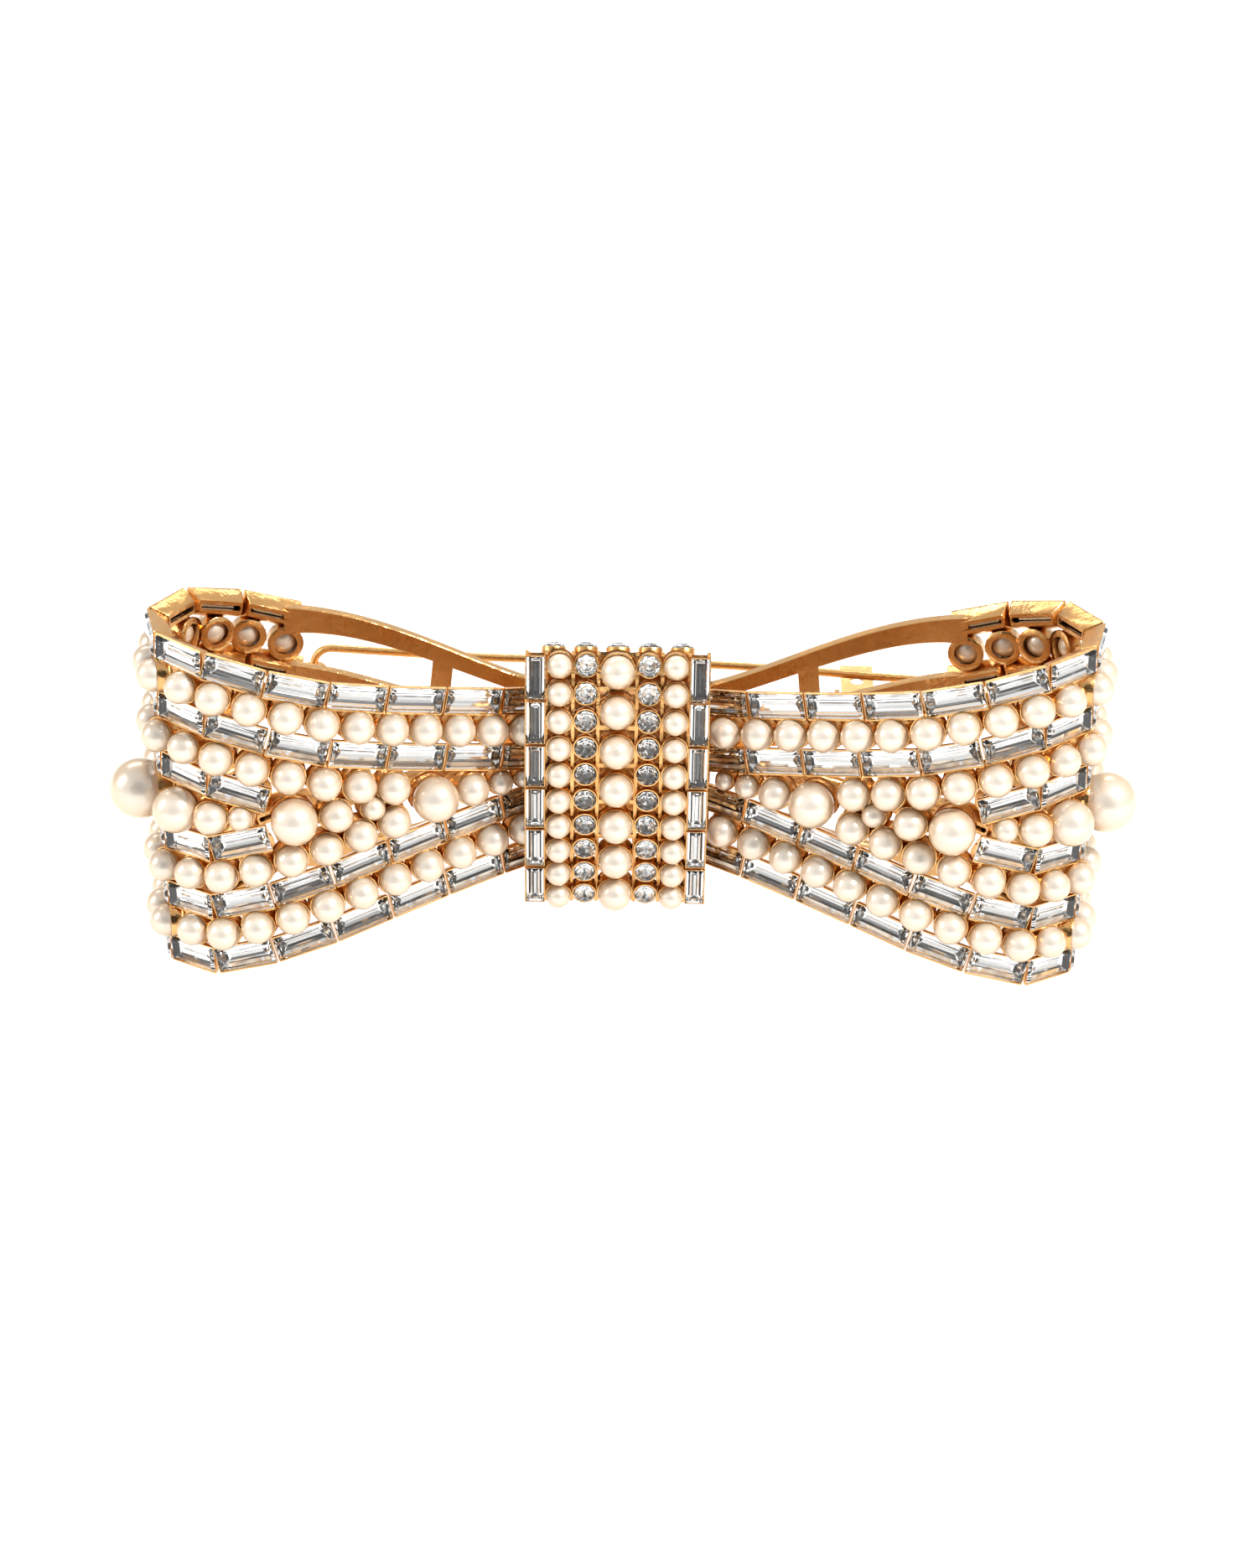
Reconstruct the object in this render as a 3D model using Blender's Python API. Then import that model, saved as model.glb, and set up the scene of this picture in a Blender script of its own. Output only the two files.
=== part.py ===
"""Bow-shaped hair clip: two openwork loops and a knot set with pearls, baguettes and crystals.

Blender 4.5 script, metres, +Z up, +X along the bow, +Y towards the head. The bow is laid out
about its own middle plane, and one empty then stands it on the lower rims of its loops, with
the origin under the middle of its bounding box.

Each loop is a band that turns through eleven flat facets. A place on the band is given by k,
the facet count from the knot, by an offset d outwards from the tops of the facet joints, and by
a height z above the middle plane.
"""
import math

import bmesh
import bpy
import numpy as np

MM = 0.001

# Where the finished clip stands: the depth of its middle and the height of its middle plane.
DEPTH_CENTRE = 18.06 * MM
PLANE_HEIGHT = 21.25 * MM

# Band plan: facet pitch, the turn of each facet from the bow's length, and one known corner.
PITCH = 7.4 * MM
HEADINGS = (-26, -26.5, -27, -25, -12, 5, 37, 76, 117, 147, 165)
HALF_HEIGHTS = tuple(h * MM for h in (9.4, 10.5, 11.9, 13.4, 15.1, 17.1, 19.0, 19.5, 19.5, 19.5, 17.8, 15.6))
FRONT_CORNER = 6
FRONT_CORNER_AT = (48.0 * MM, 0.6 * MM)

# Row places, measured down from the outer row's centre line.
PEARL_ROW = 3.6 * MM
INNER_ROW = 7.2 * MM
LEAF_ROW = 11.1 * MM
END_ROW = 14.8 * MM

# Band section: plate faces and stone seats, as offsets from the joint tops.
PLATE_IN = -2.5 * MM
PLATE_OUT = -1.7 * MM
SEAT = -1.4 * MM
RAIL_HALF = 1.75 * MM
TIE_HALF = 0.08

# Back rails: x of each station after the last facet, and the edges of the two upper rails there.
BACK_X = tuple(x * MM for x in (30.7, 23.45, 20.55, 11.3, 9.3))
BACK_OUTER = tuple((a * MM, b * MM) for a, b in ((16.2, 13.4), (12.85, 10.6), (11.75, 9.5), (8.4, 6.2), (7.7, 5.5)))
BACK_INNER = tuple((a * MM, b * MM) for a, b in ((8.2, 6.0), (5.6, 3.4), (4.6, 2.4), (2.4, 0.6), (2.0, 0.3)))

# Stones.
BAGUETTE_LENGTH = 7.0 * MM
BAGUETTE_HALF = 1.5 * MM
BAGUETTE_TOP = 0.2 * MM
PEARL_R = 1.95 * MM
PEARL_LIFT = 0.4 * MM
PEARL_STEP = 0.58
BACK_STEP_STRETCH = 1.08
FIRST_PEARL = 0.62
LEAF_FIRST_PEARL = 2.93
CORE_R = 0.3 * MM

# Knot: an arched plate, a little left of the bow's middle and above its middle plane.
KNOT_X = -0.9 * MM
KNOT_Z = 1.5 * MM
KNOT_Y = 7.6 * MM
KNOT_RADIUS = 70.0 * MM
KNOT_HALF_WIDTH = 10.8 * MM
KNOT_TOP_ARC = 15.8 * MM
KNOT_LOW_ARC = -16.2 * MM
KNOT_PLATE = 0.9 * MM
KNOT_BACK = 24.3 * MM
UPPER_RETURN_FALL = 7.4 * MM
LOWER_RETURN_RISE = 5.2 * MM

# Barrette on the back.
CLIP_Z = 1.5 * MM
BASE_Y = 24.9 * MM
BASE_RISE = 2.6 * MM
BASE_BEND = 26.0 * MM
BASE_PLATE = 0.8 * MM
BASE_HALF_WIDTH = 3.2 * MM
HINGE_X = -39.3 * MM
WIRE_R = 0.5 * MM
WIRE_SPREAD = 4.2 * MM
ARM_TIP_X = 39.5 * MM
ARM_X = tuple(x * MM for x in (-39.3, -28.0, -14.0, 0.0, 12.0, 25.0, 39.5))
ARM_Y = tuple(y * MM for y in (37.8, 36.4, 35.2, 34.7, 34.0, 32.2, 30.2))
CATCH_X = (27.0 * MM, 31.0 * MM)
GAP = 0.3 * MM

for old in list(bpy.data.objects):
    bpy.data.objects.remove(old, do_unlink=True)

stand = bpy.data.objects.new("stand", None)
stand.location = (0.0, -DEPTH_CENTRE, PLANE_HEIGHT)
bpy.context.scene.collection.objects.link(stand)


def finish_material(name, colour, metallic, roughness, transmission=0.0):
    """A Principled material of one finish."""
    made = bpy.data.materials.new(name)
    made.use_nodes = True
    shader = made.node_tree.nodes["Principled BSDF"]
    shader.inputs["Base Color"].default_value = (*colour, 1.0)
    shader.inputs["Metallic"].default_value = metallic
    shader.inputs["Roughness"].default_value = roughness
    shader.inputs["Transmission Weight"].default_value = transmission
    return made


GOLD = finish_material("gold_plate", (0.83, 0.55, 0.25), 1.0, 0.22)
PEARL = finish_material("pearl", (0.92, 0.87, 0.79), 0.0, 0.25)
CRYSTAL = finish_material("crystal", (0.86, 0.88, 0.90), 0.0, 0.05, 0.6)
SPRING = finish_material("spring_steel", (0.75, 0.60, 0.38), 1.0, 0.3)


def add_solid(name, points, faces, material, smooth_angle=30.0):
    """One closed body as a named object, its faces turned outwards, standing with the bow."""
    mesh = bpy.data.meshes.new(name)
    mesh.from_pydata([tuple(point) for point in points], [], faces)
    work = bmesh.new()
    work.from_mesh(mesh)
    bmesh.ops.recalc_face_normals(work, faces=work.faces)
    work.to_mesh(mesh)
    work.free()
    mesh.shade_smooth()
    mesh.set_sharp_from_angle(angle=math.radians(smooth_angle))
    made = bpy.data.objects.new(name, mesh)
    made.parent = stand
    bpy.context.scene.collection.objects.link(made)
    mesh.materials.append(material)
    return made


def add_helper(name, points, faces):
    """A closed body used only in a Boolean."""
    made = add_solid(name, points, faces, GOLD)
    made.hide_render = True
    made.display_type = "WIRE"
    return made


def boolean(target, operation, other):
    """Adds a Boolean modifier with a helper body."""
    change = target.modifiers.new(operation.lower(), "BOOLEAN")
    change.operation = operation
    change.object = other
    change.solver = "EXACT"


def loft(rings, closed=False):
    """Joins equal rings of points into one tube, capped at both ends unless it closes on itself."""
    count, sides = len(rings), len(rings[0])
    points = [point for ring in rings for point in ring]
    faces = []
    for row in range(count if closed else count - 1):
        after = (row + 1) % count
        for side in range(sides):
            turn = (side + 1) % sides
            faces.append((row * sides + side, row * sides + turn, after * sides + turn, after * sides + side))
    if not closed:
        faces.append(tuple(range(sides)))
        faces.append(tuple((count - 1) * sides + side for side in range(sides)))
    return points, faces


def prism(outline, low, high, place):
    """An outline carried straight from low to high; place(u, v, w) gives each point."""
    return loft([[place(u, v, w) for u, v in outline] for w in (low, high)])


def strip_outline(path, thickness):
    """The outline of a strip of even thickness along a path in a plane."""
    path = np.asarray(path, float)
    run = np.diff(path, axis=0)
    run /= np.linalg.norm(run, axis=1)[:, None]
    before = np.vstack([run[:1], run])
    after = np.vstack([run, run[-1:]])
    corner = before + after
    corner /= np.linalg.norm(corner, axis=1)[:, None]
    stretch = 1.0 / np.sum(corner * after, axis=1)
    across = np.stack([-corner[:, 1], corner[:, 0]], axis=1) * (stretch * thickness / 2)[:, None]
    return [tuple(point) for point in np.vstack([path + across, (path - across)[::-1]])]


# ---------------------------------------------------------------- the band's own coordinates


def joint_corners():
    """Plan corners of the facets, then the stations of the straight back rails."""
    corners = [np.zeros(2)]
    for facet, heading in enumerate(HEADINGS):
        rise = HALF_HEIGHTS[facet + 1] - HALF_HEIGHTS[facet]
        run = math.sqrt(PITCH**2 - rise**2)
        turn = math.radians(heading)
        corners.append(corners[-1] + run * np.array([math.cos(turn), math.sin(turn)]))
    corners = np.array(corners)
    corners += np.array(FRONT_CORNER_AT) - corners[FRONT_CORNER]
    back = [(x, corners[-1][1]) for x in BACK_X]
    return np.vstack([corners, back])


CORNERS = joint_corners()
LAST_FACET = len(HEADINGS)
LAST_STATION = len(CORNERS) - 1


def offset_corners(offset):
    """The corners moved outwards by an offset, mitred so that each facet stays flat."""
    run = np.diff(CORNERS, axis=0)
    run /= np.linalg.norm(run, axis=1)[:, None]
    out = np.stack([run[:, 1], -run[:, 0]], axis=1)
    before = np.vstack([out[:1], out])
    after = np.vstack([out, out[-1:]])
    middle = before + after
    middle /= np.linalg.norm(middle, axis=1)[:, None]
    return CORNERS + middle * (offset / np.sum(middle * after, axis=1))[:, None]


def band_point(side, k, offset, height):
    """The point at k facets from the knot, offset outwards, at a height; side is +1 or -1."""
    corners = offset_corners(offset)
    facet = min(int(k), LAST_STATION - 1)
    share = k - facet
    x, y = corners[facet] * (1 - share) + corners[facet + 1] * share
    return (side * x, y, height)


def half_height(k):
    """Height of the outer row's centre line above the middle plane."""
    return float(np.interp(k, range(LAST_FACET + 1), HALF_HEIGHTS))


def sphere_ring_spread(radius, share):
    """Distance along a ball's axis, and the ball's radius there, at a share of its radius."""
    return radius * share, radius * math.sqrt(1 - share**2)


# ---------------------------------------------------------------- loops


def row_edges(k):
    """The eight row edges of the band at k, from the top rim down to the lower rim."""
    if k <= LAST_FACET:
        height = half_height(k)
        outer = (height + RAIL_HALF, height - RAIL_HALF)
        inner = (height - INNER_ROW + RAIL_HALF, height - INNER_ROW - RAIL_HALF)
    else:
        station = int(k) - LAST_FACET - 1
        outer, inner = BACK_OUTER[station], BACK_INNER[station]
    upper = outer + inner
    return upper + tuple(-edge for edge in reversed(upper))


def loop_frame(name, side):
    """Rails, ties and leaf of one loop: a plate of cells, left open between the ties."""
    stations = [0.0]
    for joint in range(LAST_FACET + 1):
        stations += [joint + step for step in (-TIE_HALF, 0, TIE_HALF) if 0 < joint + step <= LAST_FACET]
    stations += range(LAST_FACET + 1, LAST_STATION + 1)
    tie_starts = (LAST_FACET + 2, LAST_STATION - 1)
    rows = len(row_edges(0)) - 1
    filled = np.zeros((len(stations) - 1, rows), bool)
    for column, (start, end) in enumerate(zip(stations, stations[1:])):
        on_band = end <= LAST_FACET
        tie = end - start < 2 * TIE_HALF or start in tie_starts
        filled[column] = tie
        filled[column, [0, 2, rows - 3, rows - 1]] = True
        if on_band:
            filled[column, rows // 2] = True
    points = []
    for offset in (PLATE_OUT, PLATE_IN):
        for k in stations:
            points += [band_point(side, k, offset, edge) for edge in row_edges(k)]
    deep = len(stations) * (rows + 1)

    def corner(column, row, layer):
        return layer * deep + column * (rows + 1) + row

    faces = []
    for column, row in zip(*np.nonzero(filled)):
        square = [(column, row), (column + 1, row), (column + 1, row + 1), (column, row + 1)]
        faces.append(tuple(corner(*place, 0) for place in square))
        faces.append(tuple(corner(*place, 1) for place in reversed(square)))
        beside = [(column, row - 1), (column + 1, row), (column, row + 1), (column - 1, row)]
        for turn, (near_column, near_row) in enumerate(beside):
            inside = 0 <= near_column < filled.shape[0] and 0 <= near_row < rows
            if inside and filled[near_column, near_row]:
                continue
            one, two = square[turn], square[(turn + 1) % 4]
            faces.append((corner(*two, 0), corner(*one, 0), corner(*one, 1), corner(*two, 1)))
    used = sorted({index for face in faces for index in face})
    renumber = {old: new for new, old in enumerate(used)}
    faces = [tuple(renumber[index] for index in face) for face in faces]
    return add_solid(name, [points[index] for index in used], faces, GOLD)


def baguette_ring(side, k, height, full):
    """Section of a baguette row: the stone itself, or the foil bed between two stones."""
    top = BAGUETTE_TOP if full else SEAT + GAP
    low_half = BAGUETTE_HALF if full else BAGUETTE_HALF / 2
    top_half = BAGUETTE_HALF * 0.75 if full else BAGUETTE_HALF / 2
    section = ((SEAT, -low_half), (SEAT, low_half), (top, top_half), (top, -top_half))
    return [band_point(side, k, offset, height + rise) for offset, rise in section]


def baguette_row(name, side, drop, sign, first, last):
    """A row of baguettes, one to a facet, on its bed: sign is +1 above the middle plane."""
    inset = (1 - BAGUETTE_LENGTH / PITCH) / 2
    rings = []
    for facet in range(first, last):
        if facet > first:
            rings.append(baguette_ring(side, facet, sign * (half_height(facet) - drop), False))
        for k in (facet + inset, facet + 1 - inset):
            rings.append(baguette_ring(side, k, sign * (half_height(k) - drop), True))
    return add_solid(name, *loft(rings), CRYSTAL)


def pearl_rings(side, k, height, radius, lift, sides=6):
    """Two rings of a pearl in a row; its back stays flat on its seat."""
    along, around = sphere_ring_spread(radius, 0.45)
    rings = []
    for step in (-along, along):
        ring = []
        for turn in range(sides):
            angle = 2 * math.pi * turn / sides
            offset = max(lift + around * math.cos(angle), SEAT)
            ring.append(band_point(side, k + step / PITCH, offset, height(k) + around * math.sin(angle)))
        rings.append(ring)
    return rings


def core_ring(side, k, height, sides=6):
    """Section of the thin core that joins the pearls of a row."""
    ring = []
    for turn in range(sides):
        angle = 2 * math.pi * turn / sides
        offset = SEAT + CORE_R + CORE_R * math.cos(angle)
        ring.append(band_point(side, k, offset, height(k) + CORE_R * math.sin(angle)))
    return ring


def pearl_row(name, side, height, pearls):
    """A row of pearls on one core; pearls holds (k, radius, lift) for each."""
    rings = []
    for place, (k, radius, lift) in enumerate(pearls):
        if place:
            before_k, before_radius, _ = pearls[place - 1]
            start = before_k + before_radius / PITCH
            end = k - radius / PITCH
            if end - start > 0.2:
                rings += [core_ring(side, start, height), core_ring(side, end, height)]
            else:
                rings.append(core_ring(side, (start + end) / 2, height))
        rings += pearl_rings(side, k, height, radius, lift)
    return add_solid(name, *loft(rings), PEARL, 60.0)


def single_pearl(name, side, k, radius, lift, sides=12):
    """One large pearl on its peg, turned about the band's outward direction."""
    step = 0.001
    base = np.array(band_point(side, k, 0.0, 0.0))
    out = np.array(band_point(side, k, step, 0.0)) - base
    out /= np.linalg.norm(out)
    along = np.cross(out, (0.0, 0.0, 1.0))
    profile = [(SEAT, radius * 0.35)]
    for turn in range(-60, 90, 30):
        angle = math.radians(turn)
        profile.append((lift + radius * math.sin(angle), radius * math.cos(angle)))
    profile = [point for point in profile if point[0] >= SEAT]
    rings = []
    for offset, wide in profile:
        ring = []
        for turn in range(sides):
            angle = 2 * math.pi * turn / sides
            ring.append(base + out * offset + wide * (along * math.cos(angle) + np.array((0, 0, math.sin(angle)))))
        rings.append(ring)
    return add_solid(name, *loft(rings), PEARL, 60.0)


def even_pearls(first):
    """Evenly stepped pearls from the first to the last that fits, a little wider apart behind."""
    count = int((LAST_FACET - 0.4 - first) / PEARL_STEP) + 1
    places = first + PEARL_STEP * np.arange(count)
    past_end = np.maximum(places - END_PLACE, 0.0)
    places += past_end * (BACK_STEP_STRETCH - 1)
    return [(k, PEARL_R, PEARL_LIFT) for k in places]


TINY = (1.1 * MM, 0.0)
SMALL = (1.45 * MM, 0.1 * MM)
EVEN = (PEARL_R, PEARL_LIFT)
MEDIUM = (2.8 * MM, 1.0 * MM)
MIDDLE_PEARLS = ((0.62, *TINY), (1.03, *SMALL), (1.55, *EVEN), (2.24, *MEDIUM),
                 (3.28, *SMALL), (3.92, *EVEN), (4.61, *MEDIUM))
TIP_FRONT = ((5.475, *SMALL), (5.96, *EVEN), (6.58, *MEDIUM))
TIP_BACK = ((8.42, *MEDIUM), (9.04, *EVEN), (9.525, *SMALL))
END_R = 3.7 * MM
END_LIFT = 2.35 * MM
END_PLACE = 7.5

for side_name, side in (("left", -1), ("right", 1)):
    loop_frame(f"{side_name}_loop_frame", side)
    for level, sign in (("upper", 1), ("lower", -1)):
        baguette_row(f"{side_name}_baguettes_{level}_outer", side, 0.0, sign, 0, LAST_FACET)
        baguette_row(f"{side_name}_baguettes_{level}_inner", side, INNER_ROW, sign, 0, LAST_FACET)
        baguette_row(f"{side_name}_baguettes_{level}_end", side, END_ROW, sign, 5, 10)
        pearl_row(f"{side_name}_pearls_{level}_outer", side,
                  lambda k: sign * (half_height(k) - PEARL_ROW), even_pearls(FIRST_PEARL))
        pearl_row(f"{side_name}_pearls_{level}_leaf", side,
                  lambda k: sign * (half_height(k) - LEAF_ROW), even_pearls(LEAF_FIRST_PEARL))
    single_pearl(f"{side_name}_end_pearl", side, END_PLACE, END_R, END_LIFT)
    pearl_row(f"{side_name}_pearls_middle", side, lambda k: 0.0, MIDDLE_PEARLS)
    pearl_row(f"{side_name}_pearls_tip_front", side, lambda k: 0.0, TIP_FRONT)
    pearl_row(f"{side_name}_pearls_tip_back", side, lambda k: 0.0, TIP_BACK)


# ---------------------------------------------------------------- knot


def knot_point(arc, across, offset):
    """The point at an arc length up the knot, across it, and offset outwards from its plate."""
    angle = arc / KNOT_RADIUS
    reach = KNOT_RADIUS + offset
    depth = KNOT_Y + KNOT_RADIUS - reach * math.cos(angle)
    return (KNOT_X + across, depth, KNOT_Z + reach * math.sin(angle))


def upper_return():
    """Where the knot's upper return leaves the front plate, and its slope, as depths and heights."""
    depth, height = knot_point(KNOT_TOP_ARC, 0.0, -KNOT_PLATE / 2)[1:]
    start = np.array((depth + 0.46 * MM, height + 0.2 * MM))
    run = np.array((KNOT_BACK, start[1] - UPPER_RETURN_FALL)) - start
    return start, run / np.linalg.norm(run)


def knot_frame():
    """The arched front plate with its two returns, one strip bent round the loops."""
    arcs = np.linspace(KNOT_LOW_ARC, KNOT_TOP_ARC, 9)
    front = [knot_point(arc, 0.0, -KNOT_PLATE / 2)[1:] for arc in arcs]
    low_y, low_z = front[0]
    bend = 0.9 * MM
    path = [(KNOT_BACK, low_z - bend + LOWER_RETURN_RISE), (low_y + 2 * bend, low_z - bend),
            (low_y + 0.5 * bend, low_z - 0.75 * bend)]
    start, _ = upper_return()
    path += front + [tuple(start), (KNOT_BACK, start[1] - UPPER_RETURN_FALL)]
    outline = strip_outline(path, KNOT_PLATE)
    solid = prism(outline, -KNOT_HALF_WIDTH, KNOT_HALF_WIDTH, lambda y, z, x: (KNOT_X + x, y, z))
    return add_solid("knot_frame", *solid, GOLD)


def knot_column(name, across, count, pitch, radius, lift, material, length=0.0, sides=6):
    """A column of stones up the knot: balls, or baguettes where a length is given."""
    seat = GAP
    rings = []

    def ring(arc, wide, middle):
        made = []
        for turn in range(sides):
            angle = 2 * math.pi * (turn + 0.5) / sides
            offset = max(middle + wide * math.sin(angle), seat)
            made.append(knot_point(arc, across + wide * math.cos(angle), offset))
        return made

    for number in range(count):
        arc = (number - (count - 1) / 2) * pitch
        if number:
            rings.append(ring(arc - pitch / 2, CORE_R, seat + CORE_R))
        if length:
            rings += [ring(arc + step * length / 2, radius, lift) for step in (-1, 1)]
        else:
            along, around = sphere_ring_spread(radius, 0.45)
            rings += [ring(arc + step * along, around, lift) for step in (-1, 1)]
    return add_solid(name, *loft(rings), material, 60.0)


knot_frame()
knot_column("knot_pearls_centre", 0.0, 7, 4.75 * MM, 2.0 * MM, 1.5 * MM, PEARL, sides=8)
for side_name, side in (("left", -1), ("right", 1)):
    knot_column(f"knot_crystals_{side_name}", side * 3.65 * MM, 10, 3.3 * MM, 1.35 * MM, 0.9 * MM, CRYSTAL)
    knot_column(f"knot_pearls_{side_name}", side * 6.75 * MM, 10, 3.3 * MM, 1.45 * MM, 1.2 * MM, PEARL)
    knot_column(f"knot_baguettes_{side_name}", side * 9.55 * MM, 6, 5.35 * MM, 1.2 * MM, 0.7 * MM, CRYSTAL,
                length=5.0 * MM, sides=4)


def knot_top_crystals():
    """Five round crystals side by side on the knot's upper return, joined by a thin bed."""
    start, along = upper_return()
    up = np.array((-along[1], along[0]))
    half, thick = 1.3 * MM, 0.52 * MM
    middle = start + 5.5 * MM * along + (KNOT_PLATE / 2 + GAP + thick) * up
    rings = []
    for number in range(5):
        for step, share in ((-1.9, 0.4), (-0.7, 1.0), (0.7, 1.0)):
            if number == 0 and step < -1.0:
                continue
            across = (number - 2) * 3.8 * MM + step * MM
            wall = [middle + share * (half * math.cos(a) * along + thick * math.sin(a) * up)
                    for a in np.arange(6) * math.pi / 3]
            rings.append([(KNOT_X + across, y, z) for y, z in wall])
    return add_solid("knot_crystals_top", *loft(rings), CRYSTAL, 60.0)


knot_top_crystals()


# ---------------------------------------------------------------- centre pieces


def rod(x, z, radius, start, end, sides=12):
    """A round rod along Y."""
    return loft([[(x + radius * math.cos(a), y, z + radius * math.sin(a))
                  for a in np.arange(sides) * 2 * math.pi / sides] for y in (start, end)])


def slab(low, high):
    """A rectangular block between two corners."""
    outline = [(low[0], low[2]), (high[0], low[2]), (high[0], high[2]), (low[0], high[2])]
    return prism(outline, low[1], high[1], lambda x, z, y: (x, y, z))


PLATE_Y = (23.7 * MM, 24.6 * MM)
SADDLE_Y = (17.0 * MM, 18.0 * MM)
POST_R = 1.3 * MM
RIVET_X = 5.0 * MM
RIVET_R = 0.7 * MM
HEAD_R = 1.25 * MM
HEAD_HEIGHT = 0.5 * MM


def base_inner(x):
    """Depth of the base plate's face towards the bow."""
    return BASE_Y + BASE_RISE * min(abs(x) / BASE_BEND, 1.0) ** 2


saddle = add_solid("bow_saddle", *slab((-10.4 * MM, SADDLE_Y[0], -9.0 * MM), (10.4 * MM, SADDLE_Y[1], 9.0 * MM)), GOLD)
boolean(saddle, "DIFFERENCE", add_helper("saddle_hole", *rod(0.0, CLIP_Z, POST_R + 1.2 * GAP, 0.0, 30 * MM)))
add_solid("knot_post", *rod(0.0, CLIP_Z, POST_R, KNOT_Y + KNOT_PLATE + GAP, PLATE_Y[0] - GAP), GOLD)
centre_plate = add_solid("centre_plate",
                         *slab((-10.3 * MM, PLATE_Y[0], -8.6 * MM), (10.3 * MM, PLATE_Y[1], 8.7 * MM)), GOLD)


# ---------------------------------------------------------------- barrette


def side_prism(outline, half_width):
    """An outline in plan carried across the barrette's width."""
    return prism(outline, CLIP_Z - half_width, CLIP_Z + half_width, lambda x, y, z: (x, y, z))


def arm_depth(x):
    """Depth of the arm's bowed wire at x."""
    return float(np.interp(x, ARM_X, ARM_Y))


HINGE_Y = arm_depth(HINGE_X)


def barrette_base():
    """The bowed plate, with a narrow riser at one end rolled round the arm's hinge run."""
    xs = np.linspace(-34, 34, 19) * MM
    plate = strip_outline([(x, base_inner(x) + BASE_PLATE / 2) for x in xs], BASE_PLATE)
    base = add_solid("barrette_base", *side_prism(plate, BASE_HALF_WIDTH), GOLD)
    foot = base_inner(-34 * MM) + BASE_PLATE / 2
    roll = 1.15 * MM
    path = [(-30 * MM, foot), (-36.6 * MM, foot), (-38.9 * MM, foot + 1.6 * MM), (HINGE_X - roll, foot + 4.2 * MM)]
    path += [(HINGE_X + roll * math.cos(math.radians(a)), HINGE_Y + roll * math.sin(math.radians(a)))
             for a in range(180, -91, -30)]
    riser = add_helper("hinge_riser", *side_prism(strip_outline(path, 0.7 * MM), 1.6 * MM))
    boolean(base, "UNION", riser)
    return base


base = barrette_base()
for side_name, side in (("left", -1), ("right", 1)):
    x = side * RIVET_X
    hole = add_helper(f"rivet_hole_{side_name}", *rod(x, CLIP_Z, RIVET_R + GAP, 20 * MM, 28 * MM))
    boolean(base, "DIFFERENCE", hole)
    boolean(centre_plate, "DIFFERENCE", hole)
    front = PLATE_Y[0] - GAP
    back = base_inner(x) + BASE_PLATE + GAP
    profile = ((front - HEAD_HEIGHT, HEAD_R), (front, HEAD_R), (front, RIVET_R), (back, RIVET_R),
               (back, HEAD_R), (back + HEAD_HEIGHT, HEAD_R))
    rings = [[(x + r * math.cos(a), y, CLIP_Z + r * math.sin(a)) for a in np.arange(10) * math.pi / 5]
             for y, r in profile]
    add_solid(f"base_rivet_{side_name}", *loft(rings), GOLD)


def clip_arm():
    """One closed wire: a hinge run across one end, two bowed legs and a round finger tip."""
    corner = 2.4 * MM
    tip_x = ARM_TIP_X - WIRE_SPREAD
    tip = [(tip_x + WIRE_SPREAD * math.cos(turn), WIRE_SPREAD * math.sin(turn))
           for turn in np.radians(np.arange(-90, 91, 18))]
    upper = [(x, WIRE_SPREAD) for x in reversed(ARM_X[1:-1])]
    upper += [(HINGE_X + corner * (1 + math.cos(turn)), WIRE_SPREAD - corner * (1 - math.sin(turn)))
              for turn in np.radians((90, 112, 135, 158, 180))]
    lower = [(x, -z) for x, z in reversed(upper)]
    path = np.array([(x, arm_depth(x), CLIP_Z + z) for x, z in tip + upper + lower])
    tangent = np.roll(path, -1, axis=0) - np.roll(path, 1, axis=0)
    tangent /= np.linalg.norm(tangent, axis=1)[:, None]
    up = np.array((0.0, 1.0, 0.0)) - tangent * tangent[:, 1:2]
    up /= np.linalg.norm(up, axis=1)[:, None]
    side = np.cross(tangent, up)
    rings = []
    for place in range(len(path)):
        rings.append([path[place] + WIRE_R * (up[place] * math.cos(a) + side[place] * math.sin(a))
                      for a in np.arange(8) * math.pi / 4])
    return add_solid("clip_arm", *loft(rings, closed=True), GOLD, 60.0)


clip_arm()


def tension_spring():
    """A thin bowed leaf that lies along the base and lifts towards the arm."""
    xs = np.linspace(-24, 22, 13) * MM
    path = []
    for x in xs:
        bow = 1.2 * MM * (1 - ((x + 1 * MM) / (23 * MM)) ** 2)
        path.append((x, base_inner(x) + BASE_PLATE + 0.6 * MM + bow))
    return add_solid("tension_spring", *side_prism(strip_outline(path, 0.4 * MM), 2.2 * MM), SPRING)


tension_spring()

CATCH_FLOOR = base_inner(CATCH_X[0]) + BASE_PLATE + GAP
CATCH_SHEET = 0.6 * MM
JAW_SHEET = 0.5 * MM
JAW_Y = CATCH_FLOOR + CATCH_SHEET + GAP + JAW_SHEET / 2
JAW_HEIGHT = 6.8 * MM
PIN_R = 0.35 * MM


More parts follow.
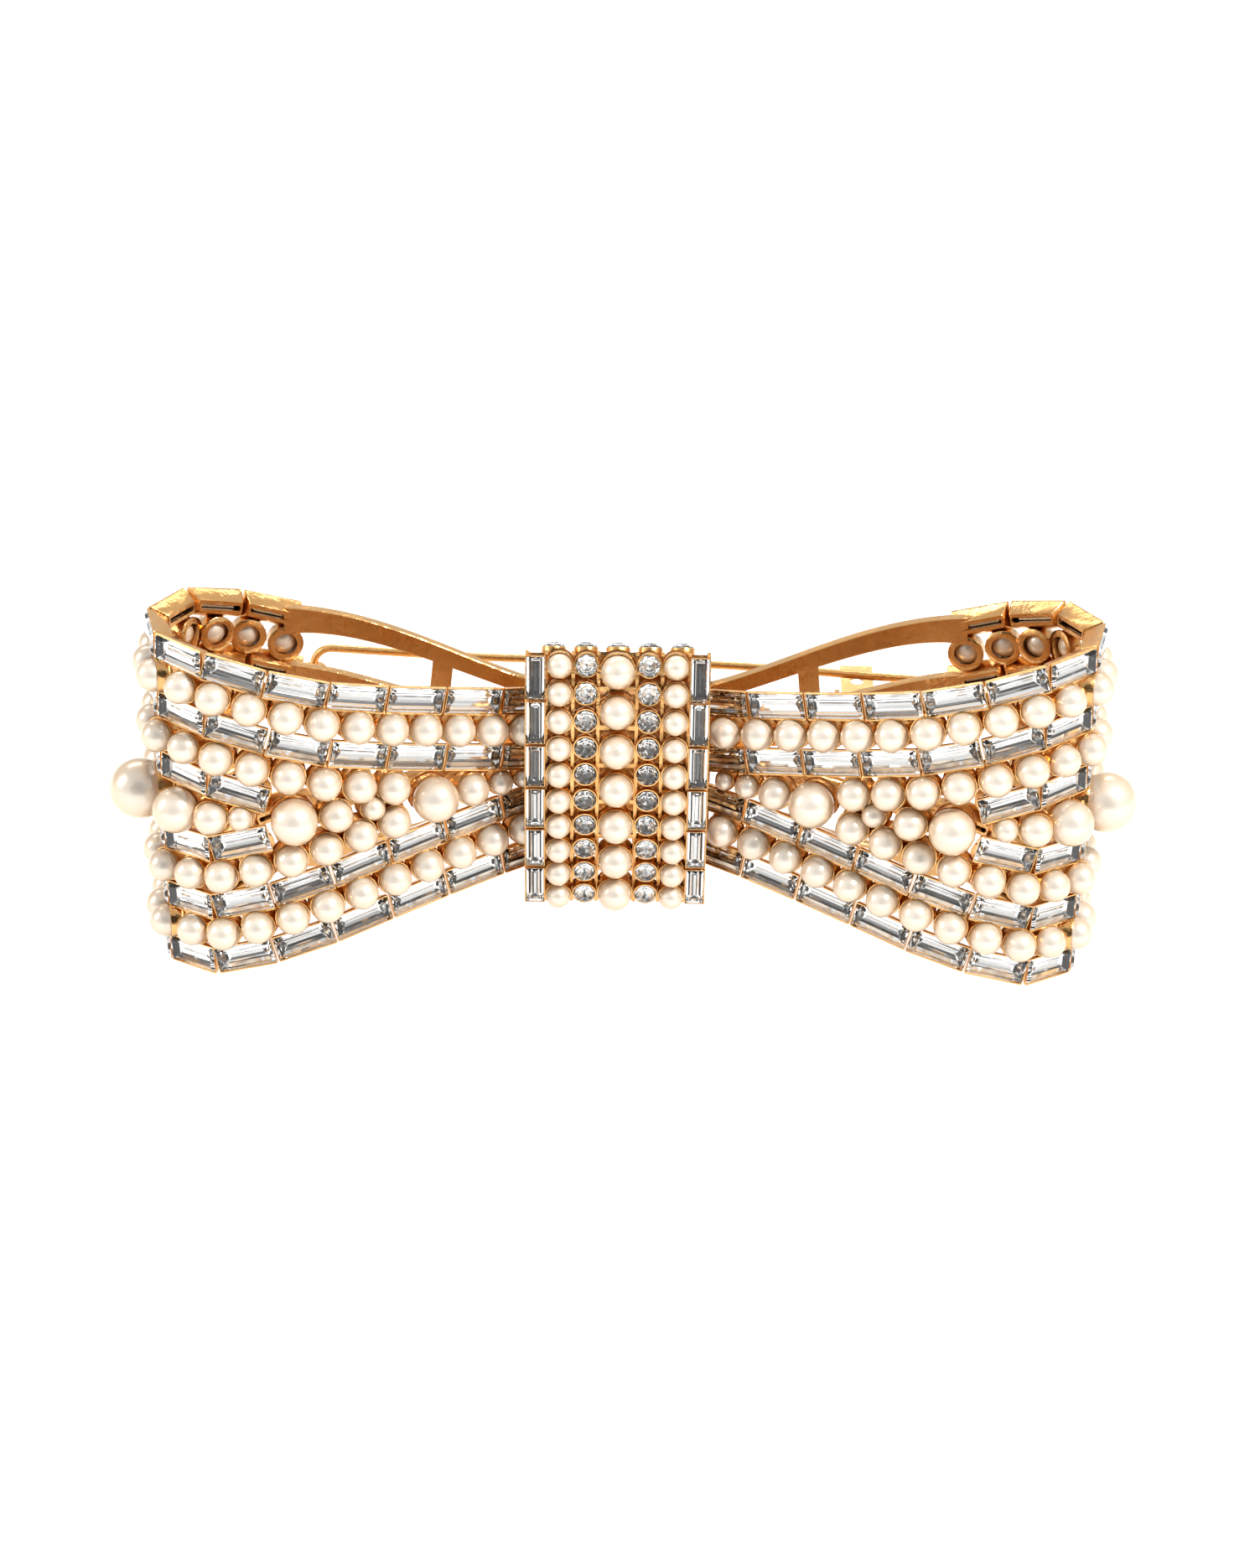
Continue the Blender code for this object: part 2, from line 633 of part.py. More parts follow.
def catch_jaw(name, side):
    """One leaning sheet of the V, with a round hole for the fingers to grip."""
    path = ((0.45 * MM, JAW_Y), (1.1 * MM, JAW_Y), (3.1 * MM, JAW_Y + JAW_HEIGHT))
    outline = strip_outline(path, JAW_SHEET)
    solid = prism(outline, *CATCH_X, lambda z, y, x: (x, y, CLIP_Z + side * z))
    jaw = add_solid(name, *solid, SPRING)
    middle = (CATCH_X[0] + CATCH_X[1]) / 2
    hole = [[(middle + 0.9 * MM * math.cos(a), JAW_Y + 0.6 * JAW_HEIGHT + 0.9 * MM * math.sin(a),
              CLIP_Z + side * z) for a in np.arange(10) * math.pi / 5] for z in (0.5 * MM, 6.0 * MM)]
    boolean(jaw, "DIFFERENCE", add_helper(f"{name}_hole", *loft(hole)))
    return jaw


def catch_bracket():
    """A floor with a cheek at each end of the jaws, and the pin between the cheeks."""
    wall = 0.6 * MM
    start = CATCH_X[0] - GAP - wall
    end = CATCH_X[1] + GAP + wall
    half = 2.2 * MM
    top = CATCH_FLOOR + 3.4 * MM
    bracket = add_solid("catch_bracket", *slab((start, CATCH_FLOOR, CLIP_Z - half),
                                               (end, CATCH_FLOOR + CATCH_SHEET, CLIP_Z + half)), GOLD)
    for number, (near, far) in enumerate(((start, start + wall), (end - wall, end)), 1):
        cheek = slab((near, CATCH_FLOOR + CATCH_SHEET / 2, CLIP_Z - half * 0.9), (far, top, CLIP_Z + half * 0.9))
        boolean(bracket, "UNION", add_helper(f"catch_cheek_{number}", *cheek))
    pin = [[(x, JAW_Y + 1.5 * MM + PIN_R * math.cos(a), CLIP_Z + PIN_R * math.sin(a))
            for a in np.arange(8) * math.pi / 4] for x in (start + wall / 2, end - wall / 2)]
    boolean(bracket, "UNION", add_helper("catch_pin", *loft(pin)))


catch_jaw("catch_jaw_upper", 1)
catch_jaw("catch_jaw_lower", -1)
catch_bracket()
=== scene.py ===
"""Bow-shaped hair clip with two openwork loops, a jewelled knot and a wire barrette.

The file follows the clip as it is made: the loops' cups and stones, the knot, then the barrette.
Shapes are worked out in millimetres about the bow's own middle plane, as the part is laid out.
"""

import bpy
import numpy as np
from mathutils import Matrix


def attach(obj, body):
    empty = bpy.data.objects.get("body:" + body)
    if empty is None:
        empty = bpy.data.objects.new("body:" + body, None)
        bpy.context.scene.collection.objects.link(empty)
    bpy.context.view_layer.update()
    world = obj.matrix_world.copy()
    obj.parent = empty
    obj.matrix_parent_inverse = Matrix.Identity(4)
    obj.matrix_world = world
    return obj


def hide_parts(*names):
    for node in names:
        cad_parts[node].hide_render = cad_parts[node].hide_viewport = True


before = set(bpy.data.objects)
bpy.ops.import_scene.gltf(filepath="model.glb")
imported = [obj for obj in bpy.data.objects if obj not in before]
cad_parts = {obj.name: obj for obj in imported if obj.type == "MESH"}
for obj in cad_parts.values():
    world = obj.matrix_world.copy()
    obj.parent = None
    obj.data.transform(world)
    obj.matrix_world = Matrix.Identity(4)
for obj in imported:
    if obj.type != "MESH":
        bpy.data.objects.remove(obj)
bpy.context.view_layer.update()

# ------------------------------------------------------------------ studio
# A white table in a white tent, lit by a small softbox high on the right, a strip light over
# the back and a weak fill on the left. The tent is open, and so dark, at the front.
TABLE_REACH = 60.0
TABLE_DROP = 0.0001


def new_material(name, inputs):
    """A material whose shader has the given inputs, with its nodes, its links and that shader."""
    made = bpy.data.materials.new(name)
    made.use_nodes = True
    nodes, links = made.node_tree.nodes, made.node_tree.links
    shader = nodes["Principled BSDF"]
    for key, value in inputs.items():
        shader.inputs[key].default_value = value
    return made, nodes, links, shader


table_corners = [(x * TABLE_REACH, y * TABLE_REACH, 0) for x, y in ((-1, -1), (1, -1), (1, 1), (-1, 1))]
floor_mesh = bpy.data.meshes.new("table_top")
floor_mesh.from_pydata(table_corners, [], [(0, 1, 2, 3)])
floor = bpy.data.objects.new("table_top", floor_mesh)
bpy.context.scene.collection.objects.link(floor)
floor.location.z = -TABLE_DROP
table_white = new_material("table_white", {
    "Base Color": (0.5, 0.5, 0.5, 1), "Roughness": 0.6, "Specular IOR Level": 0.1,
    "Emission Color": (1, 1, 1, 1), "Emission Strength": 0.86})[0]
floor_mesh.materials.append(table_white)
bpy.context.scene.view_settings.view_transform = "Standard"

OPENING_TOWARDS = (0.0, -0.93, 0.36)
OPENING_EDGE = (0.83, 0.93)
TENT_WHITE, OPENING_DARK = (0.86, 0.86, 0.86, 1), (0.06, 0.057, 0.054, 1)
TENT_STRENGTH = 0.90
tent = bpy.data.worlds.new("tent")
bpy.context.scene.world = tent
tent.use_nodes = True
tent_nodes, tent_links = tent.node_tree.nodes, tent.node_tree.links
direction = tent_nodes.new("ShaderNodeTexCoord")
towards = tent_nodes.new("ShaderNodeVectorMath")
towards.operation = "DOT_PRODUCT"
towards.inputs[1].default_value = OPENING_TOWARDS
opening = tent_nodes.new("ShaderNodeValToRGB")
for stop, place, colour in zip(opening.color_ramp.elements, OPENING_EDGE, (TENT_WHITE, OPENING_DARK)):
    stop.position = place
    stop.color = colour
tent_links.new(direction.outputs["Generated"], towards.inputs[0])
tent_links.new(towards.outputs["Value"], opening.inputs["Fac"])
tent_links.new(opening.outputs["Color"], tent_nodes["Background"].inputs["Color"])
tent_nodes["Background"].inputs["Strength"].default_value = TENT_STRENGTH


def softbox(name, place, aim, size, power):
    """A rectangular area light at place, turned to face aim."""
    lamp = bpy.data.lights.new(name, "AREA")
    lamp.shape = "RECTANGLE"
    lamp.size, lamp.size_y = size
    lamp.energy = power
    made = bpy.data.objects.new(name, lamp)
    made.location = place
    look = np.array(aim, float) - np.array(place, float)
    look /= np.linalg.norm(look)
    yaw, pitch = np.arctan2(look[0], look[1]), np.arccos(-look[2])
    made.rotation_euler = (pitch, 0.0, -yaw)
    bpy.context.scene.collection.objects.link(made)


softbox("key_softbox", (0.40, -0.27, 0.58), (0, 0, 0.02), (0.15, 0.15), 5.6)
softbox("back_strip", (-0.10, 0.45, 0.55), (0, 0, 0.02), (0.70, 0.16), 1.8)
softbox("left_fill", (-0.60, -0.10, 0.30), (0, 0, 0.02), (0.30, 0.40), 1.4)

lens = bpy.data.cameras.new("product_lens")
lens.sensor_fit = "HORIZONTAL"
lens.sensor_width = 36.0
lens.lens = 87.0
camera = bpy.data.objects.new("product_camera", lens)
camera.location = (-0.00089, -0.33217, 0.17667)
camera.rotation_euler = (1.12498, -0.01512, 0.00316)
bpy.context.scene.collection.objects.link(camera)
bpy.context.scene.camera = camera


# ------------------------------------------------------------------ gold cups for the baguettes
# Each baguette stands in its own cast box, 7.2 mm long, plated in warm gold. The boxes are
# soldered end to end, one to a facet of the loop, and each has a narrow slot in its back.
MM = 0.001
DEPTH_CENTRE = 18.06
PLANE_HEIGHT = 21.25
PITCH = 7.4
HEADINGS = np.radians([-26, -26.5, -27, -25, -12, 5, 37, 76, 117, 147, 165])
HALF_HEIGHTS = np.array([9.4, 10.5, 11.9, 13.4, 15.1, 17.1, 19.0, 19.5, 19.5, 19.5, 17.8, 15.6])
FRONT_CORNER, FRONT_CORNER_AT = 6, (48.0, 0.6)
INNER_ROW, END_ROW = 7.2, 14.8
RISES = np.diff(HALF_HEIGHTS)
RUNS = np.sqrt(PITCH**2 - RISES**2)
STEPS = RUNS[:, None] * np.stack([np.cos(HEADINGS), np.sin(HEADINGS)], axis=1)
CORNERS = np.vstack([[0, 0], np.cumsum(STEPS, axis=0)])
CORNERS += np.array(FRONT_CORNER_AT) - CORNERS[FRONT_CORNER]
FACETS = len(HEADINGS)


def to_row(points):
    """Millimetres about the bow's middle plane, as metres in the row frame."""
    return (np.asarray(points, float) - (0.0, DEPTH_CENTRE, -PLANE_HEIGHT)) * MM


def add_piece(name, points, faces, materials, nodes=(), slot="gold_plate", body="bow", smooth=None,
              faces_material=None, painted_reflection=None):
    """A mesh from one array of points and one list of faces, riding on a body.

    smooth is the angle in degrees below which edges are shaded smooth; tone is a value for
    each face that its material reads.
    """
    mesh = bpy.data.meshes.new(name)
    mesh.from_pydata(to_row(points).tolist(), [], [tuple(face) for face in faces])
    if faces_material is not None:
        mesh.polygons.foreach_set("material_index", np.asarray(faces_material, np.int32))
    if painted_reflection is not None:
        painted_reflections = mesh.attributes.new("painted_reflection", "FLOAT", "FACE")
        painted_reflections.data.foreach_set("value", np.asarray(painted_reflection, np.float32))
    if smooth is not None:
        mesh.shade_smooth()
        mesh.set_sharp_from_angle(angle=np.radians(smooth))
    for material in materials:
        mesh.materials.append(material)
    made = bpy.data.objects.new(name, mesh)
    bpy.context.scene.collection.objects.link(made)
    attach(made, body)
    if nodes:
        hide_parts(*nodes)
    return made


def ring_faces(rings, sides, cap_start=False, cap_end=False, around=False):
    """Quads between successive rings of equal count, wound to face out of a rising tube."""
    row = np.arange(rings if around else rings - 1)[:, None]
    side = np.arange(sides)[None, :]
    after, turn = (row + 1) % rings, (side + 1) % sides
    corners = (row * sides + side, row * sides + turn, after * sides + turn, after * sides + side)
    quads = np.stack(corners, axis=-1)
    faces = [list(map(int, quad)) for quad in quads.reshape(-1, 4)]
    if cap_start:
        faces.append(list(range(sides))[::-1])
    if cap_end:
        faces.append(list(range((rings - 1) * sides, rings * sides)))
    return faces


def offset_corners(offset):
    """Facet corners moved outwards by each offset: the corner plus its mitre times the offset."""
    run = STEPS / np.linalg.norm(STEPS, axis=1)[:, None]
    out = np.stack([run[:, 1], -run[:, 0]], axis=1)
    before, after = np.vstack([out[:1], out]), np.vstack([out, out[-1:]])
    middle = before + after
    middle /= np.linalg.norm(middle, axis=1)[:, None]
    mitre = middle / np.sum(middle * after, axis=1)[:, None]
    return CORNERS[None] + mitre[None] * np.asarray(offset, float)[:, None, None]


def on_facet(side, sign, facet, drop, along, up, out):
    """Points of a cup or stone on one facet, each edge mitred where the facets meet.

    The row runs through the facet at its own slope, so along and up turn by that slope; the
    place between the facet's two corners is then the share of its run.
    """
    slope = np.arctan2(RISES[facet], RUNS[facet])
    reach = along * np.cos(slope) - up * np.sin(slope)
    height = along * np.sin(slope) + up * np.cos(slope)
    middle = (HALF_HEIGHTS[facet] + HALF_HEIGHTS[facet + 1]) / 2 - drop
    share = (0.5 + reach / RUNS[facet])[:, None]
    corners = offset_corners(out)
    plan = corners[:, facet] * (1 - share) + corners[:, facet + 1] * share
    return np.column_stack([side * plan[:, 0], plan[:, 1], sign * (middle + height)])


def gather(groups):
    """One array of points and one list of faces from several (points, faces, mirrored)."""
    points, faces, start = [], [], 0
    for place, own_faces, mirrored in groups:
        points.append(place)
        faces += [[start + index for index in (face[::-1] if mirrored else face)] for face in own_faces]
        start += len(place)
    return np.vstack(points), faces


def box_ring(half_long, half_high, out, corner=0.0):
    """A rectangle at one depth, its corners cut by a small radius when one is given."""
    if not corner:
        along, up = np.array([-1, 1, 1, -1]) * half_long, np.array([-1, -1, 1, 1]) * half_high
    else:
        turn = np.radians([200, 250, 290, 340, 20, 70, 110, 160])
        centre_along = np.sign(np.cos(turn)) * (half_long - corner)
        centre_up = np.sign(np.sin(turn)) * (half_high - corner)
        along, up = centre_along + corner * np.cos(turn), centre_up + corner * np.sin(turn)
    return np.column_stack([along, up, np.full(len(along), out)])


def noise_group():
    """Cast grain: a fine and a coarse noise give a tint mask, a roughness value and a height."""
    group = bpy.data.node_groups.new("cast_grain", "ShaderNodeTree")
    for name, kind, start in (("Scale", "NodeSocketFloat", 900.0), ("Smooth", "NodeSocketFloat", 0.16),
                              ("Rough", "NodeSocketFloat", 0.34)):
        socket = group.interface.new_socket(name, in_out="INPUT", socket_type=kind)
        socket.default_value = start
    for name in ("Tint", "Roughness", "Height"):
        group.interface.new_socket(name, in_out="OUTPUT", socket_type="NodeSocketFloat")
    nodes, links = group.nodes, group.links
    inlet, outlet = nodes.new("NodeGroupInput"), nodes.new("NodeGroupOutput")
    place = nodes.new("ShaderNodeTexCoord")
    fine, coarse = nodes.new("ShaderNodeTexNoise"), nodes.new("ShaderNodeTexNoise")
    fine.inputs["Detail"].default_value = 4.0
    coarse.inputs["Detail"].default_value = 2.0
    coarser = nodes.new("ShaderNodeMath")
    coarser.operation = "MULTIPLY"
    coarser.inputs[1].default_value = 0.16
    spread = nodes.new("ShaderNodeMapRange")
    spread.inputs["From Min"].default_value = 0.35
    spread.inputs["From Max"].default_value = 0.65
    links.new(place.outputs["Object"], fine.inputs["Vector"])
    links.new(place.outputs["Object"], coarse.inputs["Vector"])
    links.new(inlet.outputs["Scale"], fine.inputs["Scale"])
    links.new(inlet.outputs["Scale"], coarser.inputs[0])
    links.new(coarser.outputs[0], coarse.inputs["Scale"])
    links.new(coarse.outputs["Fac"], spread.inputs["Value"])
    links.new(inlet.outputs["Smooth"], spread.inputs["To Min"])
    links.new(inlet.outputs["Rough"], spread.inputs["To Max"])
    links.new(spread.outputs["Result"], outlet.inputs["Roughness"])
    links.new(coarse.outputs["Fac"], outlet.inputs["Tint"])
    links.new(fine.outputs["Fac"], outlet.inputs["Height"])
    return group


CAST_GRAIN = noise_group()


def plated(name, light, deep, scale, smooth, rough, bump):
    """A plated metal: two golds mixed by the grain's tint, its roughness, and a fine bump."""
    made, nodes, links, shader = new_material(name, {"Metallic": 1.0})
    grain = nodes.new("ShaderNodeGroup")
    grain.node_tree = CAST_GRAIN
    grain.inputs["Scale"].default_value = scale
    grain.inputs["Smooth"].default_value = smooth
    grain.inputs["Rough"].default_value = rough
    tint = nodes.new("ShaderNodeMix")
    tint.data_type = "RGBA"
    tint.inputs["A"].default_value = (*light, 1)
    tint.inputs["B"].default_value = (*deep, 1)
    raised = nodes.new("ShaderNodeBump")
    raised.inputs["Strength"].default_value = bump
    raised.inputs["Distance"].default_value = 0.0002
    links.new(grain.outputs["Tint"], tint.inputs["Factor"])
    links.new(tint.outputs["Result"], shader.inputs["Base Color"])
    links.new(grain.outputs["Roughness"], shader.inputs["Roughness"])
    links.new(grain.outputs["Height"], raised.inputs["Height"])
    links.new(raised.outputs["Normal"], shader.inputs["Normal"])
    return made


GOLD = plated("gold_plate", (0.86, 0.52, 0.22), (0.60, 0.30, 0.09), 900.0, 0.16, 0.34, 0.75)

SIDES = (("left", -1), ("right", 1))
LEVELS = (("upper", 1), ("lower", -1))
BAGUETTE_ROWS = (("outer", 0.0, 0, FACETS), ("inner", INNER_ROW, 0, FACETS), ("end", END_ROW, 5, 10))


def baguette_cup():
    """One box, narrower at its back, from rings of half length, half height, depth and corner."""
    profile = ((3.0, 0.34, -2.2, 0.3), (3.22, 0.78, -2.2, 0.2), (3.28, 0.86, -2.1, 0.2),
               (3.60, 1.66, -0.45, 0.2), (3.62, 1.74, -0.2, 0.2), (3.62, 1.74, -0.02, 0.2),
               (3.59, 1.71, 0.06, 0.2), (3.53, 1.58, 0.06, 0.15), (3.50, 1.53, -0.05, 0.1),
               (3.46, 1.49, -0.35, 0.1), (3.15, 1.02, -1.15, 0.1), (3.0, 0.34, -1.7, 0.3))
    rings = [box_ring(*ring) for ring in profile]
    return np.vstack(rings), ring_faces(len(rings), len(rings[0]), around=True)


cup_points, cup_faces = baguette_cup()
for side_name, side in SIDES:
    groups = []
    for row, drop, first, last in BAGUETTE_ROWS:
        for level, sign in LEVELS:
            for facet in range(first, last):
                place = on_facet(side, sign, facet, drop, *cup_points.T)
                groups.append((place, cup_faces, side * sign < 0))
    points, faces = gather(groups)
    add_piece(f"{side_name}_baguette_cups", points, faces, [GOLD], [f"{side_name}_loop_frame"], smooth=40)


# ------------------------------------------------------------------ baguettes
# Step-cut clear glass, 7 by 3 mm, with silver foil on the back. The foil is a thin shell behind
# the glass. Its grey is painted reflection: light and dark stripes on the steps, a little
# brighter or duller from stone to stone.
STONE_HALF_LONG, STONE_HALF_HIGH = 3.5, 1.5
STONE_TONES = (0.98, 1.12)


def clear_glass(name, tint):
    return new_material(name, {"Base Color": (*tint, 1), "Roughness": 0.01, "IOR": 1.54,
                               "Metallic": 0.0, "Transmission Weight": 1.0})[0]


def silver_foil(name):
    """Foil whose grey is painted reflection, set face by face from near black to white, with a faint crinkle.
    """
    made, nodes, links, shader = new_material(name, {"Metallic": 1.0, "Roughness": 0.10})
    painted_reflection = nodes.new("ShaderNodeAttribute")
    painted_reflection.attribute_name = "painted_reflection"
    grey = nodes.new("ShaderNodeValToRGB")
    grey.color_ramp.elements[0].color = (0.03, 0.029, 0.028, 1)
    grey.color_ramp.elements[1].color = (0.97, 0.965, 0.955, 1)
    crinkle = nodes.new("ShaderNodeTexNoise")
    crinkle.inputs["Scale"].default_value = 1400.0
    place = nodes.new("ShaderNodeTexCoord")
    raised = nodes.new("ShaderNodeBump")
    raised.inputs["Strength"].default_value = 0.02
    raised.inputs["Distance"].default_value = 0.0001
    links.new(painted_reflection.outputs["Fac"], grey.inputs["Fac"])
    links.new(grey.outputs["Color"], shader.inputs["Base Color"])
    links.new(place.outputs["Object"], crinkle.inputs["Vector"])
    links.new(crinkle.outputs["Fac"], raised.inputs["Height"])
    links.new(raised.outputs["Normal"], shader.inputs["Normal"])
    return made


CRYSTAL = clear_glass("crystal", (0.99, 0.99, 0.985))
FOIL = silver_foil("crystal_foil")


def baguette(half_long, half_high):
    """Step-cut glass from keel to table, and the foil's inner and outer skins round its keel."""
    inset = half_long - half_high
    steps = np.array([(0.08, -1.25), (0.27, -1.15), (0.49, -0.94), (0.73, -0.63)]) * (half_high, 1.0)
    glass = [(inset + wide, wide, out) for wide, out in steps]
    bevel = 0.26 * half_high
    glass += [(half_long - 0.03, half_high - 0.03, -0.22), (half_long - 0.03, half_high - 0.03, -0.02),
              (half_long - bevel, half_high - bevel, 0.38)]
    foil = [(inset + wide + 0.03, wide + 0.03, out - 0.04) for wide, out in steps]
    foil += [(half_long - 0.01, half_high - 0.01, -0.24), (half_long - 0.02, half_high - 0.02, -0.30),
             (inset + 0.60 * half_high, 0.60 * half_high, -1.04),
             (inset + 0.2 * half_high, 0.2 * half_high, -1.40)]
    glass_points = np.vstack([box_ring(*ring) for ring in glass])
    foil_points = np.vstack([box_ring(*ring) for ring in foil])
    glass_faces = ring_faces(len(glass), 4, cap_start=True, cap_end=True)
    foil_faces = [face[::-1] for face in ring_faces(len(foil), 4)]
    last = 4 * len(foil)
    foil_faces += [list(range(4)), list(range(last - 4, last))[::-1]]
    return glass_points, glass_faces, foil_points, foil_faces


def stone_parts(stone):
    """The glass and the foil of one stone, each as points, faces and material index."""
    glass_points, glass_faces, foil_points, foil_faces = stone
    return (glass_points, glass_faces, 0), (foil_points, foil_faces, 1)


def painted_step_reflections(rng, bright):
    """Painted reflections on one stone's foil: steps on the long sides alternate light and dark, the ends and
    girdle stay light.
    """
    painted_reflections = np.full((7, 4), 0.85 * bright)
    painted_reflections[:4, 0] = rng.permutation([1.05, 1.0, 0.25, 0.8]) * bright
    painted_reflections[:4, 2] = rng.permutation([1.05, 1.0, 0.12, 0.75]) * bright
    painted_reflections[:4, [1, 3]] = rng.uniform(0.85, 1.05, (4, 2)) * bright
    painted_reflections[3] = np.maximum(painted_reflections[3], 0.3 + 0.65 * bright)
    return painted_reflections.ravel().tolist() + [0.5 * bright, 0.5]


stone_tones = np.random.default_rng(7)
STONE = baguette(STONE_HALF_LONG, STONE_HALF_HIGH)
for side_name, side in SIDES:
    for row, drop, first, last in BAGUETTE_ROWS:
        for level, sign in LEVELS:
            groups, painted_reflections, kinds = [], [], []
            for facet in range(first, last):
                mirrored = side * sign < 0
                for points, faces, kind in stone_parts(STONE):
                    groups.append((on_facet(side, sign, facet, drop, *points.T), faces, mirrored))
                    kinds += [kind] * len(faces)
                # Painted reflection stripes on each stone's foil, their brightness varied at random from
                # stone to stone.
                painted_reflections += [1.0] * len(STONE[1]) + painted_step_reflections(stone_tones, stone_tones.uniform(*STONE_TONES))
            points, faces = gather(groups)
            add_piece(f"{side_name}_{level}_{row}_baguette_stones", points, faces, [CRYSTAL, FOIL],
                      [f"{side_name}_baguettes_{level}_{row}"], "crystal", faces_material=kinds, painted_reflection=painted_reflections)


# ------------------------------------------------------------------ pearl cups
# Each pearl sits in a round cast cup with a hole in its back. The cups touch each other and the
# boxes above and below, and are soldered where they touch.
def half_height(k):
    return np.interp(k, np.arange(FACETS + 1), HALF_HEIGHTS)


def band_frame(side, k, height):
    """Origin on the reference line, and unit vectors along, up and out, right-handed."""
    facet = min(int(k), FACETS - 1)
    share = k - facet
    plan = CORNERS[facet] * (1 - share) + CORNERS[facet + 1] * share
    run = STEPS[facet] / np.linalg.norm(STEPS[facet])
    origin = np.array([side * plan[0], plan[1], height])
    out = np.array([side * run[1], -run[0], 0.0])
    up = np.array([0.0, 0.0, 1.0])
    return origin, np.stack([np.cross(up, out), up, out])


def turned(profile, sides):
    """A profile of (radius, out) carried round the out axis: radius times cosine and sine."""
    turn = np.arange(sides) * 2 * np.pi / sides
    radius, out = np.asarray(profile, float).T
    points = np.stack([radius[:, None] * np.cos(turn), radius[:, None] * np.sin(turn),
                       np.repeat(out[:, None], sides, axis=1)], axis=-1)
    return points.reshape(-1, 3)


CUP_SIDES = 20
LARGE_FROM = 2.5
FIRST_PEARL, LEAF_FIRST_PEARL = 0.62, 2.93


def cup_profile(radius, lift):
    """Back washer, outside, rim below the pearl's middle, and bowl; a large pearl's rim is lower."""
    share = 0.22 if radius < LARGE_FROM else 0.55
    rim, bowl = lift - share * radius, radius * np.sqrt(1 - share**2)
    deep = min(share + 0.25, 0.85)
    seat = (radius * np.sqrt(1 - deep**2), max(lift - deep * radius, -1.35))
    return ((0.74 * bowl, -1.8), (bowl + 0.19, -1.8), (bowl + 0.3, -1.7), (bowl + 0.3, -1.5),
            (bowl + 0.14, -1.35), (bowl + 0.22, rim - 0.06), (bowl + 0.18, rim + 0.02),
            (bowl + 0.05, rim + 0.02), seat, (0.74 * bowl, -1.5))


def round_cup(profile, origin, axes):
    """One turned cup at its place."""
    points = origin + turned(profile, CUP_SIDES) @ axes
    return points, ring_faces(len(profile), CUP_SIDES, around=True), False


PEARL_R, PEARL_LIFT, PEARL_STEP = 1.95, 0.4, 0.58
END_PLACE, BACK_STRETCH = 7.5, 1.08
PEARL_ROW, LEAF_ROW = 3.6, 11.1


def even_pearls(first):
    """Pearls one step apart from the first, a little wider apart past the loop's end."""
    count = int((FACETS - 0.4 - first) / PEARL_STEP) + 1
    places = first + PEARL_STEP * np.arange(count)
    return places + np.maximum(places - END_PLACE, 0.0) * (BACK_STRETCH - 1)


TINY, SMALL, EVEN, MEDIUM, LARGE = (1.1, 0.0), (1.45, 0.1), (PEARL_R, PEARL_LIFT), (2.75, 1.0), (3.6, 2.3)
MIDDLE_PEARLS = ((0.62, *TINY), (1.03, *SMALL), (1.55, *EVEN), (2.24, *MEDIUM), (3.28, *SMALL), (3.92, *EVEN),
                 (4.61, *MEDIUM))
TIP_FRONT = ((5.475, *SMALL), (5.96, *EVEN), (6.58, *MEDIUM))
TIP_BACK = ((8.42, *MEDIUM), (9.04, *EVEN), (9.525, *SMALL))


def loop_pearls(side_name, side):
    """(CAD node, list of (k, height, radius, lift)) for every string of pearls on one loop."""
    for level, sign in LEVELS:
        for row, drop, first in (("outer", PEARL_ROW, FIRST_PEARL), ("leaf", LEAF_ROW, LEAF_FIRST_PEARL)):
            yield (f"{side_name}_pearls_{level}_{row}",
                   [(k, sign * (half_height(k) - drop), PEARL_R, PEARL_LIFT) for k in even_pearls(first)])
    for row, pearls in (("pearls_middle", MIDDLE_PEARLS), ("pearls_tip_front", TIP_FRONT),
                        ("pearls_tip_back", TIP_BACK), ("end_pearl", ((END_PLACE, *LARGE),))):
        yield f"{side_name}_{row}", [(k, 0.0, radius, lift) for k, radius, lift in pearls]


for side_name, side in SIDES:
    groups = []
    for _, pearls in loop_pearls(side_name, side):
        for k, height, radius, lift in pearls:
            groups.append(round_cup(cup_profile(radius, lift), *band_frame(side, k, height)))
    points, faces = gather(groups)
    add_piece(f"{side_name}_pearl_cups", points, faces, [GOLD], smooth=45)


